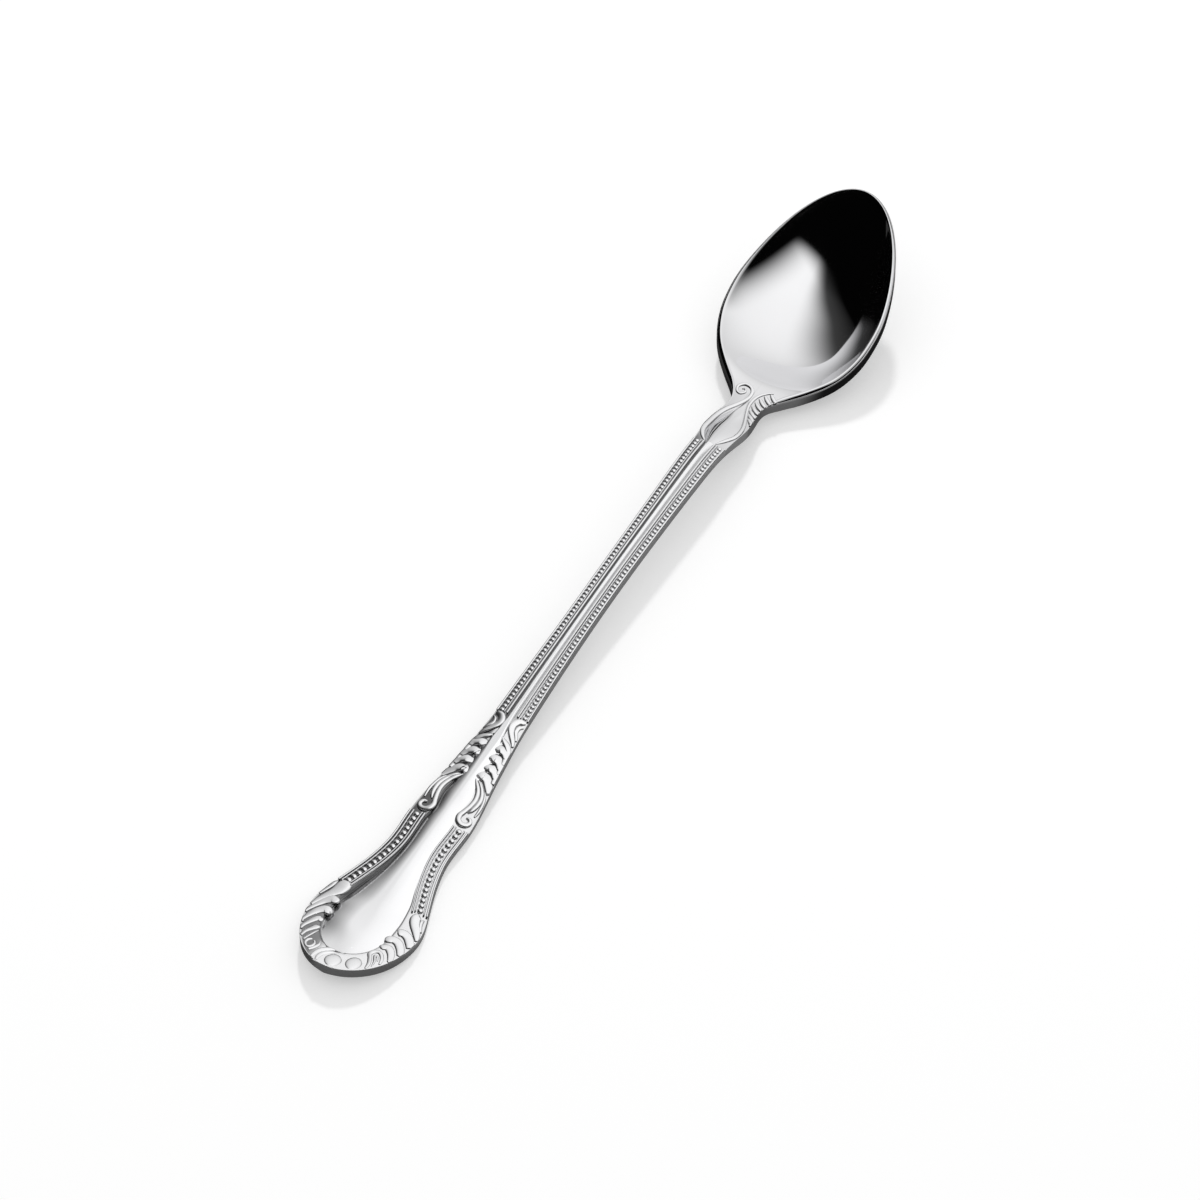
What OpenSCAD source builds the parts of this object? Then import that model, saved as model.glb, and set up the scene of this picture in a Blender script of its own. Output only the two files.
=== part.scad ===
// Iced tea spoon, struck from one blank of stainless steel.
// X runs from the handle tip to the bowl tip, Y is the spoon's left, Z is up.
// The handle end and the underside of the bowl rest at height 0, and X is 0 halfway along.
// Places along the spoon are counted from the handle tip, and each skin is shifted once.

/* [Lengths] */
// Handle end, from the tip to the volutes
handle_end_l = 36.8; // [30:0.1:44]
// Shoulder with the scrolls and leaves
shoulder_l = 24.7; // [18:0.1:32]
// Beaded stem
stem_l = 69.6; // [40:0.1:110]
// Neck, up to where the bowl opens
neck_l = 19; // [15:0.1:26]
// Bowl, from the neck to its tip
bowl_l = 40.2; // [34:0.1:52]

/* [Widths] */
// Widest part of the handle end
handle_end_w = 19.7; // [16:0.1:24]
// Waist behind the handle end
waist_w = 10.8; // [8.8:0.1:12]
// Across the two volutes
volute_w = 11.3; // [9:0.1:13]
// Middle of the shoulder
shoulder_w = 8.4; // [7:0.1:9.6]
// Foot of the stem
stem_foot_w = 6.2; // [5.4:0.1:7]
// Slimmest part of the stem
stem_w = 5.1; // [4.6:0.1:6]
// Top of the stem
stem_top_w = 6.3; // [5.4:0.1:7]
// Lozenge of the neck
neck_w = 7.5; // [6.4:0.1:9]
// Throat between neck and bowl
throat_w = 5.8; // [5:0.1:6.2]
// Widest part of the bowl
bowl_w = 29.3; // [24:0.1:34]

/* [Heights of the upper edge] */
// Handle tip
tip_h = 4.3; // [3:0.1:5]
// Waist
waist_h = 2.4; // [2.1:0.1:3.2]
// Middle of the shoulder
shoulder_h = 3.1; // [2.6:0.1:5]
// Lower third of the stem
stem_low_h = 5.5; // [4.6:0.1:8]
// Upper third of the stem
stem_high_h = 7.1; // [6.2:0.1:9]
// Top of the stem, the highest point of the arch
arch_h = 7.5; // [6.6:0.1:9.4]
// Throat, the lowest point before the bowl
throat_h = 4; // [3.2:0.1:4.6]
// Bowl rim where the bowl is widest
rim_h = 9.2; // [8:0.1:11]
// Bowl tip
bowl_tip_h = 18.6; // [14:0.2:21]

/* [Thicknesses] */
// Handle end, where it rests
handle_end_t = 2; // [1.7:0.1:2.6]
// Handle tip
tip_t = 2.1; // [1.7:0.1:2.7]
// Waist and shoulder
shoulder_t = 1.8; // [1.5:0.1:2.4]
// Stem
stem_t = 2.1; // [1.7:0.1:2.8]
// Neck and throat
neck_t = 2.6; // [2:0.1:3]
// Bowl
bowl_t = 1.1; // [0.8:0.1:1.4]
// Flat polished lip of the bowl
lip_w = 0.7; // [0.4:0.1:1]

/* [Struck ornament] */
// Height of the ornament over the sunk face
relief_h = 0.45; // [0.3:0.05:0.6]
// Half width of the fullest leaf or flute
bulb_r = 1; // [0.7:0.05:1.05]
// Outer rim beside the beads
rim_w = 0.36; // [0.25:0.01:0.45]
// Ridge between the beads and the face
ridge_w = 0.42; // [0.3:0.02:0.5]
// Stem bead diameter
stem_bead_d = 0.8; // [0.6:0.02:0.84]
// Stem bead pitch
stem_bead_pitch = 0.88; // [0.86:0.01:1.2]
// Handle end bead diameter
border_bead_d = 0.96; // [0.7:0.02:1]
// Handle end bead pitch
border_bead_pitch = 1.08; // [1.04:0.01:1.5]

/* [Hidden] */

steel = [0.78, 0.78, 0.8];
bright_steel = [0.9, 0.9, 0.92];

// Places along the spoon
shoulder_x = handle_end_l;
stem_x = shoulder_x + shoulder_l;
neck_x = stem_x + stem_l;
bowl_x = neck_x + neck_l;
bowl_tip_x = bowl_x + bowl_l;
mid_x = bowl_tip_x / 2;
// The flat under the handle end that touches the table
rest_l = 4;
rest_share = 0.55;
rest_x = handle_end_l * rest_share;
end_belly_share = 0.37;
end_belly_x = handle_end_l * end_belly_share;
waist_share = 0.84;
waist_x = handle_end_l * waist_share;
throat_share = 0.76;
throat_x = neck_x + neck_l * throat_share;

// A blunt end keeps a small flat, this share of the length over
blunt_share = 1.004;
bead_fn = 24;

// Smooth curve through a table of [place, value] rows, level at each peak and dip
function secant(t, i) = (t[i + 1][1] - t[i][1]) / (t[i + 1][0] - t[i][0]);
function slope(t, i) =
    i == 0 ? secant(t, 0) :
    i == len(t) - 1 ? secant(t, i - 1) :
    secant(t, i - 1) * secant(t, i) <= 0 ? 0 :
    2 * secant(t, i - 1) * secant(t, i) / (secant(t, i - 1) + secant(t, i));
function row_before(t, x, i = 0) = i >= len(t) - 2 || x < t[i + 1][0] ? i : row_before(t, x, i + 1);
function curve(t, x) =
    let (i = row_before(t, x), run = t[i + 1][0] - t[i][0], f = (x - t[i][0]) / run)
    t[i][1] * (1 + 2 * f) * (1 - f) * (1 - f) + t[i + 1][1] * f * f * (3 - 2 * f)
    + run * f * (1 - f) * (slope(t, i) * (1 - f) - slope(t, i + 1) * f);

// Half width of the spoon at x: a half ellipse at the tip, then ogee curves up to the bowl.
// The flank of the handle end is placed between its belly and its waist
end_flank_shares = [[0.35, 0.57], [0.65, 0.2]];
slim_share = 0.42;
lozenge_share = 0.38;
handle_outline = concat([[0, handle_end_w / 2], [end_belly_x, handle_end_w / 2]],
    [for (s = end_flank_shares) [end_belly_x + (waist_x - end_belly_x) * s[0],
        (waist_w + (handle_end_w - waist_w) * s[1]) / 2]],
    [[waist_x, waist_w / 2], [shoulder_x, volute_w / 2], [shoulder_x + shoulder_l / 2, shoulder_w / 2],
    [stem_x, stem_foot_w / 2], [stem_x + stem_l * slim_share, stem_w / 2], [neck_x, stem_top_w / 2],
    [neck_x + neck_l * lozenge_share, neck_w / 2], [throat_x, throat_w / 2]]);
// Bowl from the throat to its widest place, in shares of its length and of its half width
bowl_flank_shares = [[-0.04, 0.335], [0.01, 0.48], [0.06, 0.61], [0.14, 0.8], [0.23, 0.92], [0.32, 0.985]];
bowl_belly_share = 0.43;
bowl_belly_x = bowl_x + bowl_l * bowl_belly_share;
bowl_point_share = 1.53;
spoon_outline = concat(handle_outline,
    [for (s = bowl_flank_shares) [bowl_x + bowl_l * s[0], bowl_w / 2 * s[1]]],
    [[bowl_belly_x, bowl_w / 2]]);
function tip_half(x) =
    handle_end_w / 2 * sqrt(max(0, 1 - pow((end_belly_x - x) / end_belly_x / blunt_share, 2)));
function bowl_end_half(x) = bowl_w / 2
    * sqrt(max(0, 1 - pow((x - bowl_belly_x) / (bowl_tip_x - bowl_belly_x) / blunt_share, bowl_point_share)));
function half_w(x) =
    x < end_belly_x ? tip_half(x) :
    x > bowl_belly_x ? bowl_end_half(x) :
    curve(spoon_outline, x);

// Height of the upper edge at x
tip_curl_share = 0.235;
stem_low_share = 0.2;
stem_high_share = 0.6;
arch_share = 0.92;
throat_dip_share = 0.84;
edge_profile = [[0, tip_h], [handle_end_l * tip_curl_share, handle_end_t + relief_h],
    [rest_x - rest_l / 2, handle_end_t], [rest_x + rest_l / 2, handle_end_t], [shoulder_x, waist_h],
    [shoulder_x + shoulder_l / 2, shoulder_h], [stem_x + stem_l * stem_low_share, stem_low_h],
    [stem_x + stem_l * stem_high_share, stem_high_h], [stem_x + stem_l * arch_share, arch_h],
    [neck_x + neck_l * throat_dip_share, throat_h], [bowl_belly_x, rim_h], [bowl_tip_x, bowl_tip_h]];
function edge_z(x) = curve(edge_profile, x);

// Height of the sunk face that the ornament stands on
function seat_z(x) = edge_z(x) - relief_h;

// Thickness of the blank along the handle
blank_profile = [[0, tip_t], [rest_x - rest_l / 2, handle_end_t], [rest_x + rest_l / 2, handle_end_t],
    [shoulder_x, shoulder_t], [shoulder_x + shoulder_l / 2, shoulder_t],
    [stem_x + stem_l * stem_low_share, stem_t], [stem_x + stem_l * arch_share, stem_t],
    [throat_x, neck_t], [bowl_x, neck_t - relief_h]];

// Middle of the bowl's underside, in shares of its length and of the height of its tip
bowl_under_shares = [[0.27, 0], [0.5, 0.115], [0.75, 0.4], [0.88, 0.62]];
bowl_under_profile = concat([[bowl_x, edge_z(bowl_x) - neck_t + relief_h]],
    [for (s = bowl_under_shares) [bowl_x + bowl_l * s[0], bowl_tip_h * s[1]]],
    [[bowl_tip_x, bowl_tip_h - bowl_t]]);
function under_z(x) = x < bowl_x ? edge_z(x) - curve(blank_profile, x) : curve(bowl_under_profile, x);

// How far the underside swells: nearly flat under the handle, fully round at the bowl
swell_profile_shares = [[0, 0.6], [0.5, 0.6], [1, 1]];
flat_profile_shares = [[0, 0.4], [0.5, 0.4], [1, 0]];
swell_power = 2.4;
function along_neck(x) = max(0, min(1, (x - neck_x) / neck_l));
function swell(x) = curve(swell_profile_shares, along_neck(x));
function rounding(x, v) =
    let (f = curve(flat_profile_shares, along_neck(x)))
    pow(max(0, abs(v) - f) / (1 - f), swell_power);
across_shares = [-1, -0.93, -0.8, -0.6, -0.33, 0, 0.33, 0.6, 0.8, 0.93, 1];
function under_point(x, v, side_z) =
    [x, v * half_w(x), under_z(x) + swell(x) * (side_z - under_z(x)) * rounding(x, v)];

// Closed skin over a row of rings that all have the same number of points
module skin(rings) {
    n = len(rings[0]);
    last = len(rings) - 1;
    sides = [for (i = [0:last - 1], j = [0:n - 1])
        [i * n + j, (i + 1) * n + j, (i + 1) * n + (j + 1) % n, i * n + (j + 1) % n]];
    start = [for (j = [0:n - 1]) j];
    end = [for (j = [n - 1:-1:0]) last * n + j];
    translate([-mid_x, 0, 0]) polyhedron([for (r = rings, p = r) p], concat(sides, [start], [end]));
}

// One length of the blank: sunk face on top, side walls, swelling underside
side_wall_share = 0.55;
function side_z(x) = seat_z(x) - (seat_z(x) - under_z(x)) * side_wall_share;
function blank_ring(x) = concat([for (v = across_shares) under_point(x, v, side_z(x))],
    [[x, half_w(x), seat_z(x)], [x, -half_w(x), seat_z(x)]]);
module blank(xs) {
    skin([for (x = xs) blank_ring(x)]);
}
function steps(x0, x1, n) = [for (i = [0:n]) x0 + (x1 - x0) * i / n];

// The bowl: dished inside, lip on top, round underneath
bowl_rings = 30;
dish_power = 2.2;
thin_share = 0.25;
bowl_wall = [[bowl_x, neck_t - 2 * relief_h], [bowl_x + bowl_l * thin_share, bowl_t], [bowl_tip_x, bowl_t]];
function bowl_place(u) = bowl_x + bowl_l * (1 - cos(180 * u)) / 2;
function bowl_outer(x) = [for (v = across_shares) under_point(x, v, edge_z(x) - bowl_t / 2)];
function dish_ring(x, xi) =
    let (w = half_w(x) * (1 - lip_w * 2 / bowl_w), floor_z = under_z(x) + curve(bowl_wall, x))
    [for (v = across_shares) [xi, -v * w, floor_z + (edge_z(x) - floor_z) * pow(abs(v), dish_power)]];
module bowl() {
    color(bright_steel)
    skin([for (i = [0:bowl_rings])
        let (x = bowl_place(i / bowl_rings), xi = bowl_x + (x - bowl_x) * (bowl_l - lip_w) / bowl_l)
        concat(bowl_outer(x),
            [[x, half_w(x), edge_z(x)]], dish_ring(x, xi), [[x, -half_w(x), edge_z(x)]])]);
}

neck_rings = 14;
module neck() {
    color(steel) blank(steps(neck_x, bowl_x, neck_rings));
}

stem_rings = 24;
module stem() {
    color(steel) blank(steps(stem_x, neck_x, stem_rings));
}

shoulder_rings = 12;
module shoulder() {
    color(steel) blank(steps(shoulder_x, stem_x, shoulder_rings));
}

// The rounded tip takes closer rings, and the flat that the handle rests on has its own
tip_rings = 9;
belly_rings = 3;
rest_rings = 2;
end_rings = 6;
module handle_end() {
    tip_xs = [for (i = [0:tip_rings - 1]) end_belly_x * (1 - cos(90 * i / tip_rings))];
    belly_run = rest_x - rest_l / 2 - end_belly_x;
    belly_xs = [for (i = [0:belly_rings - 1]) end_belly_x + belly_run * i / belly_rings];
    rest_xs = steps(rest_x - rest_l / 2, rest_x + rest_l / 2, rest_rings);
    end_run = shoulder_x - rest_x - rest_l / 2;
    end_xs = [for (i = [1:end_rings]) shoulder_x - end_run * (1 - i / end_rings)];
    color(steel) blank(concat(tip_xs, belly_xs, rest_xs, end_xs));
}

// A struck ridge along a path of [x, y, half width, height] rows, seated on the sunk face
shoulder_width_share = 0.72;
shoulder_height_share = 0.75;
function heading(p, i) =
    let (d = p[min(i + 1, len(p) - 1)] - p[max(i - 1, 0)], r = norm([d[0], d[1]]))
    [d[0] / r, d[1] / r];
function ridge_point(r, h, across, up) =
    let (x = r[0] - h[1] * r[2] * across, y = r[1] + h[0] * r[2] * across) [x, y, seat_z(x) + r[3] * up];
function ridge_ring(r, h) = [
    ridge_point(r, h, 1, 0),
    ridge_point(r, h, shoulder_width_share, shoulder_height_share),
    ridge_point(r, h, 0, 1),
    ridge_point(r, h, -shoulder_width_share, shoulder_height_share),
    ridge_point(r, h, -1, 0)];
module ridge(rows) {
    skin([for (i = [0:len(rows) - 1]) ridge_ring(rows[i], heading(rows, i))]);
}

// Rows between the drawn ones, along a smooth spline
rows_between = 4;
function spline(a, b, c, d, f) =
    b + f * ((c - a) / 2 + f * (a - 2.5 * b + 2 * c - d / 2 + f * (d - a + 3 * (b - c)) / 2));
function eased(p) =
    let (n = len(p) - 1)
    concat([for (i = [0:n - 1], k = [0:rows_between - 1])
        spline(p[max(i - 1, 0)], p[i], p[i + 1], p[min(i + 2, n)], k / rows_between)], [p[n]]);

// Drawn rows are shares of the length, of the half width, of the fullest half width and of the relief height
function drawn(shares, x0, length, side) =
    [for (s = shares)
        let (x = x0 + s[0] * length)
        [x, side * s[1] * half_w(x), s[2] * bulb_r, s[3] * relief_h]];
module struck(shares, x0, length, side) {
    color(bright_steel) ridge(eased(drawn(shares, x0, length, side)));
}

// A low round button: rings of an ellipse that rise to the middle, placed in shares of the handle end
button_ring_shares = [[1, 0], [0.9, 0.45], [0.65, 0.8], [0.3, 0.96]];
button_fn = 16;
module button(place_shares, rx, ry) {
    x = handle_end_l * place_shares[0];
    y = handle_end_w * place_shares[1];
    skin([for (r = button_ring_shares) [for (k = [0:button_fn - 1])
        let (px = x + rx * r[0] * cos(360 * k / button_fn))
        [px, y + ry * r[0] * sin(360 * k / button_fn), seat_z(px) + relief_h * r[1]]]]);
}

// Half beads, round side up
function rise(x) = let (e = rim_w) atan((seat_z(x + e) - seat_z(x - e)) / (2 * e));
module bead(x, y, d) {
    translate([x - mid_x, y, seat_z(x)]) rotate([0, -rise(x), 0])
    difference() {
        sphere(d = d, $fn = bead_fn);
        translate([-d, -d, -2 * d]) cube(2 * d);
    }
}

stem_bead_share = 0.69;
module stem_beads(side) {
    count = floor(stem_l / stem_bead_pitch);
    color(bright_steel)
    for (i = [0:count - 1]) {
        x = stem_x + stem_l * (i + 0.5) / count;
        bead(x, side * half_w(x) * stem_bead_share, stem_bead_d);
    }
}

border_bead_share = 0.75;
border_start_share = 0.52;
border_start_x = handle_end_l * border_start_share;
border_end_x = shoulder_x - rim_w;
module border_beads(side) {
    count = floor((border_end_x - border_start_x) / border_bead_pitch);
    color(bright_steel)
    for (i = [0:count - 1]) {
        x = border_start_x + (border_end_x - border_start_x) * (i + 0.5) / count;
        bead(x, side * half_w(x) * border_bead_share, border_bead_d);
    }
}

// Rim at the edge and ridge inside the beads, along one length of the handle
module rim_pair(xs, side, ridge_share, width) {
    color(bright_steel) {
        ridge([for (x = xs) [x, side * (half_w(x) - rim_w / 2), rim_w / 2, relief_h]]);
        ridge([for (x = xs) [x, side * half_w(x) * ridge_share, width / 2, relief_h]]);
    }
}
stem_ridge_share = 0.32;
border_ridge_share = 0.55;
border_ridge_widening = 1.5;
border_rings = 12;
module stem_rims(side) {
    rim_pair(steps(stem_x, neck_x, stem_rings), side, stem_ridge_share, ridge_w);
}
module border_rims(side) {
    rim_pair(steps(border_start_x, border_end_x, border_rings), side, border_ridge_share,
        ridge_w * border_ridge_widening);
}

// Shoulder: a leaf at the foot of the stem with a narrow one behind it, four flutes,
// and an S that ends in a volute
shoulder_leaf_shares = [[0.99, 0.55, 0.2, 0.3], [0.97, 0.55, 0.85, 0.85], [0.925, 0.5, 0.95, 1],
    [0.885, 0.62, 0.75, 1], [0.835, 0.78, 0.45, 0.8], [0.795, 0.9, 0.12, 0.3]];
shoulder_leaflet_shares = [[0.835, 0.27, 0.1, 0.3], [0.8, 0.44, 0.38, 0.8], [0.77, 0.68, 0.42, 0.9],
    [0.735, 0.88, 0.12, 0.3]];
shoulder_flute_shares = [[0, 0.34, 0.2, 0.3], [0.004, 0.45, 0.72, 0.9], [0.006, 0.62, 0.62, 1],
    [-0.02, 0.8, 0.42, 0.9], [-0.07, 0.92, 0.1, 0.3]];
shoulder_flute_place_shares = [0.692, 0.607, 0.524, 0.449];
shoulder_s_shares = [[0.4, 0.4, 0.12, 0.3], [0.355, 0.6, 0.34, 0.9], [0.3, 0.69, 0.4, 1], [0.23, 0.65, 0.4, 1],
    [0.17, 0.55, 0.42, 1], [0.113, 0.47, 0.46, 1], [0.065, 0.5, 0.46, 1], [0.043, 0.66, 0.42, 1],
    [0.057, 0.81, 0.4, 1], [0.093, 0.85, 0.36, 1], [0.117, 0.77, 0.3, 0.9], [0.105, 0.65, 0.2, 0.8]];
shoulder_outer_s_shares = [[0.413, 0.56, 0.1, 0.3], [0.368, 0.76, 0.32, 0.9], [0.312, 0.86, 0.36, 1],
    [0.243, 0.86, 0.36, 1], [0.178, 0.74, 0.28, 0.8], [0.154, 0.66, 0.1, 0.3]];
module shoulder_leaf(side) {
    struck(shoulder_leaf_shares, shoulder_x, shoulder_l, side);
    struck(shoulder_leaflet_shares, shoulder_x, shoulder_l, side);
}
module shoulder_flutes(side) {
    for (s = shoulder_flute_place_shares)
        struck(shoulder_flute_shares, shoulder_x + shoulder_l * s, shoulder_l, side);
}
module shoulder_volute(side) {
    struck(shoulder_s_shares, shoulder_x, shoulder_l, side);
    struck(shoulder_outer_s_shares, shoulder_x, shoulder_l, side);
}

// Tip: a leaf at each side, flutes that fan round the edge, a shell of three lobes, a boss and a small S
left_tip_leaf_shares = [[[0.511, 0.84, 0.3, 0.3], [0.495, 0.81, 1.05, 0.85], [0.462, 0.77, 1.1, 1],
        [0.43, 0.78, 0.85, 1], [0.394, 0.84, 0.55, 0.85], [0.359, 0.9, 0.35, 0.6], [0.332, 0.95, 0.1, 0.3]],
    [[0.481, 0.945, 0.1, 0.3], [0.457, 0.935, 0.28, 0.9], [0.43, 0.935, 0.28, 0.8], [0.397, 0.955, 0.1, 0.3]]];
right_tip_leaf_shares = [[0.486, -0.85, 0.3, 0.3], [0.473, -0.82, 1, 0.9], [0.448, -0.81, 1, 1],
    [0.418, -0.85, 0.75, 0.95], [0.391, -0.9, 0.45, 0.8], [0.364, -0.94, 0.12, 0.3]];
left_tip_flute_shares = [[[0.389, 0.6, 0.3, 0.3], [0.383, 0.64, 0.85, 0.9], [0.378, 0.73, 0.75, 1],
        [0.356, 0.82, 0.55, 0.9], [0.326, 0.9, 0.38, 0.7], [0.296, 0.95, 0.1, 0.3]],
    [[0.315, 0.56, 0.3, 0.3], [0.312, 0.62, 0.85, 0.9], [0.31, 0.72, 0.7, 1],
        [0.291, 0.82, 0.5, 0.9], [0.264, 0.9, 0.35, 0.7], [0.236, 0.95, 0.1, 0.3]],
    [[0.261, 0.64, 0.25, 0.3], [0.258, 0.68, 0.65, 0.9], [0.253, 0.77, 0.52, 1],
        [0.231, 0.85, 0.4, 0.9], [0.207, 0.92, 0.28, 0.7], [0.185, 0.96, 0.1, 0.3]],
    [[0.217, 0.62, 0.2, 0.3], [0.212, 0.67, 0.55, 0.9], [0.198, 0.78, 0.45, 1],
        [0.174, 0.86, 0.36, 0.9], [0.149, 0.92, 0.26, 0.7], [0.13, 0.95, 0.1, 0.3]]];
right_tip_flute_shares = [[[0.245, -0.58, 0.2, 0.3], [0.25, -0.63, 0.62, 0.9], [0.255, -0.73, 0.52, 1],
        [0.234, -0.84, 0.42, 0.9], [0.201, -0.93, 0.1, 0.3]],
    [[0.296, -0.54, 0.3, 0.3], [0.304, -0.6, 0.9, 0.9], [0.307, -0.72, 0.72, 1],
        [0.291, -0.83, 0.5, 0.9], [0.255, -0.94, 0.1, 0.3]],
    [[0.359, -0.61, 0.3, 0.3], [0.364, -0.67, 0.85, 0.9], [0.361, -0.78, 0.65, 1],
        [0.342, -0.89, 0.42, 0.8], [0.312, -0.95, 0.1, 0.3]]];
tip_volute_shares = [[0.117, 0.46, 0.15, 0.3], [0.092, 0.5, 0.32, 0.9], [0.062, 0.63, 0.36, 1],
    [0.052, 0.82, 0.32, 1], [0.068, 0.86, 0.32, 1], [0.098, 0.77, 0.34, 1], [0.114, 0.65, 0.3, 1],
    [0.101, 0.6, 0.22, 0.8]];
tip_shell_shares = [[[0.022, 0.74, 0.15, 0.3], [0.046, 0.53, 0.42, 0.9], [0.076, 0.38, 0.5, 1],
        [0.098, 0.24, 0.45, 0.9], [0.111, 0.08, 0.15, 0.3]],
    [[0.016, 0.56, 0.12, 0.3], [0.041, 0.28, 0.34, 0.9], [0.068, 0.19, 0.38, 1],
        [0.09, 0.08, 0.34, 0.9], [0.099, -0.03, 0.12, 0.3]]];
tip_scroll_shares = [[0.098, -0.87, 0.12, 0.3], [0.136, -0.76, 0.36, 0.85], [0.166, -0.63, 0.5, 1],
    [0.19, -0.56, 0.5, 1], [0.207, -0.61, 0.46, 1], [0.198, -0.73, 0.4, 0.9], [0.171, -0.84, 0.3, 0.8],
    [0.144, -0.91, 0.12, 0.3]];
module left_tip_leaf() {
    for (shares = left_tip_leaf_shares) struck(shares, 0, handle_end_l, 1);
}
module right_tip_leaf() {
    struck(right_tip_leaf_shares, 0, handle_end_l, 1);
}
module left_tip_flutes() {
    for (shares = left_tip_flute_shares) struck(shares, 0, handle_end_l, 1);
}
module right_tip_flutes() {
    for (shares = right_tip_flute_shares) struck(shares, 0, handle_end_l, 1);
}
module tip_volute() {
    struck(tip_volute_shares, 0, handle_end_l, 1);
}
shell_lobe_place_shares = [0.052, -0.038];
shell_lobe_l = 1.4;
shell_lobe_w = 1.1;
module tip_shell() {
    for (shares = tip_shell_shares) struck(shares, 0, handle_end_l, 1);
    color(bright_steel) button(shell_lobe_place_shares, shell_lobe_l, shell_lobe_w);
}
boss_place_shares = [0.084, -0.188];
boss_l = 1.6;
boss_w = 1.3;
module tip_boss() {
    color(bright_steel) button(boss_place_shares, boss_l, boss_w);
}
module tip_scroll() {
    struck(tip_scroll_shares, 0, handle_end_l, 1);
}

// Neck: an S that runs onto the bowl as a volute on the left, a leaf of four ribs on the right
neck_s_shares = [[0.02, 0.38, 0.12, 0.3], [0.08, 0.65, 0.36, 0.8], [0.175, 0.83, 0.5, 1], [0.31, 0.82, 0.52, 1],
    [0.46, 0.79, 0.5, 1], [0.575, 0.69, 0.45, 1], [0.68, 0.47, 0.4, 1], [0.763, 0.22, 0.36, 1],
    [0.847, 0.09, 0.34, 1], [0.92, 0.15, 0.34, 1], [0.947, 0.31, 0.32, 1], [0.926, 0.51, 0.3, 1],
    [0.874, 0.67, 0.28, 1], [0.847, 0.56, 0.22, 0.9], [0.879, 0.42, 0.14, 0.7]];
neck_rib_shares = [[[0.026, -0.35, 0.12, 0.3], [0.1, -0.58, 0.34, 0.8], [0.205, -0.8, 0.4, 1],
        [0.31, -0.8, 0.42, 1], [0.416, -0.7, 0.38, 1], [0.52, -0.53, 0.34, 1], [0.626, -0.34, 0.32, 1],
        [0.72, -0.2, 0.32, 1], [0.816, -0.19, 0.34, 1], [0.889, -0.27, 0.34, 1], [0.937, -0.42, 0.28, 0.9],
        [0.942, -0.57, 0.12, 0.3]],
    [[0.468, -0.83, 0.1, 0.3], [0.563, -0.7, 0.27, 0.9], [0.658, -0.55, 0.3, 1], [0.753, -0.45, 0.31, 1],
        [0.837, -0.46, 0.31, 1], [0.895, -0.55, 0.25, 0.9], [0.91, -0.7, 0.1, 0.3]],
    [[0.574, -0.9, 0.1, 0.3], [0.668, -0.76, 0.26, 0.9], [0.753, -0.67, 0.29, 1], [0.82, -0.68, 0.28, 0.95],
        [0.863, -0.8, 0.1, 0.4]],
    [[0.658, -0.93, 0.08, 0.3], [0.732, -0.87, 0.2, 0.9], [0.784, -0.9, 0.2, 0.9], [0.826, -0.96, 0.08, 0.4]]];
module neck_scroll() {
    struck(neck_s_shares, neck_x, neck_l, 1);
}
module neck_leaf() {
    for (shares = neck_rib_shares) struck(shares, neck_x, neck_l, 1);
}

bowl();
neck();
stem();
shoulder();
handle_end();
stem_beads(1);  // left_stem_beads
stem_beads(-1);  // right_stem_beads
stem_rims(1);  // left_stem_rims
stem_rims(-1);  // right_stem_rims
border_beads(1);  // left_border_beads
border_beads(-1);  // right_border_beads
border_rims(1);  // left_border_rims
border_rims(-1);  // right_border_rims
shoulder_volute(1);  // left_shoulder_volute
shoulder_volute(-1);  // right_shoulder_volute
shoulder_flutes(1);  // left_shoulder_flutes
shoulder_flutes(-1);  // right_shoulder_flutes
shoulder_leaf(1);  // left_shoulder_leaf
shoulder_leaf(-1);  // right_shoulder_leaf
left_tip_leaf();
left_tip_flutes();
tip_volute();
tip_shell();
tip_boss();
tip_scroll();
right_tip_flutes();
right_tip_leaf();
neck_scroll();
neck_leaf();
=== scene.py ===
import math

import bpy
import numpy as np
from mathutils import Matrix, Vector


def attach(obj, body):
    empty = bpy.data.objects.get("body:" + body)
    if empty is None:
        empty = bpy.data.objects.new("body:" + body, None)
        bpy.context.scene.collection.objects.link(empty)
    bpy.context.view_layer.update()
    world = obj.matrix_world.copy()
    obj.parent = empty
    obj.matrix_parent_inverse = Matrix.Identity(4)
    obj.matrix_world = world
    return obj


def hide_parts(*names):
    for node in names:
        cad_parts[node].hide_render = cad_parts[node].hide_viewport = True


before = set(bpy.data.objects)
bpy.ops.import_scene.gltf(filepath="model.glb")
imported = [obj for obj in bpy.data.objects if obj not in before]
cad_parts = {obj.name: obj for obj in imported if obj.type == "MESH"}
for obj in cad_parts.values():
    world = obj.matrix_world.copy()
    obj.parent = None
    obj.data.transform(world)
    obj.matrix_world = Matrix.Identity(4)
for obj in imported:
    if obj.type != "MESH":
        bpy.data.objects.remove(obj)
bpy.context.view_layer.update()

# ---------------------------------------------------------------- the view
# A long lens looks down on the spoon from behind the right of its handle, from
# about a metre away. The picture is 1200 by 1200, and the spoon's middle lies
# a little right of its centre.
to_camera = Vector((-0.59255, -0.32744, 0.73598)).normalized()
camera_right = Vector((0.48367, -0.87525, 0)).normalized()
camera_up = to_camera.cross(camera_right)
camera_distance = 0.9521

lens = bpy.data.cameras.new("view_lens")
lens.lens = 166.6
lens.sensor_width = 36
lens.shift_x = -0.00799
lens.shift_y = 0.00113
lens.clip_end = 20
camera = bpy.data.objects.new("view_camera", lens)
facing = Matrix((camera_right, camera_up, to_camera)).transposed().to_4x4()
camera.matrix_world = Matrix.Translation(to_camera * camera_distance) @ facing
bpy.context.scene.collection.objects.link(camera)
bpy.context.scene.camera = camera
bpy.context.scene.view_settings.view_transform = "Standard"


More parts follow.
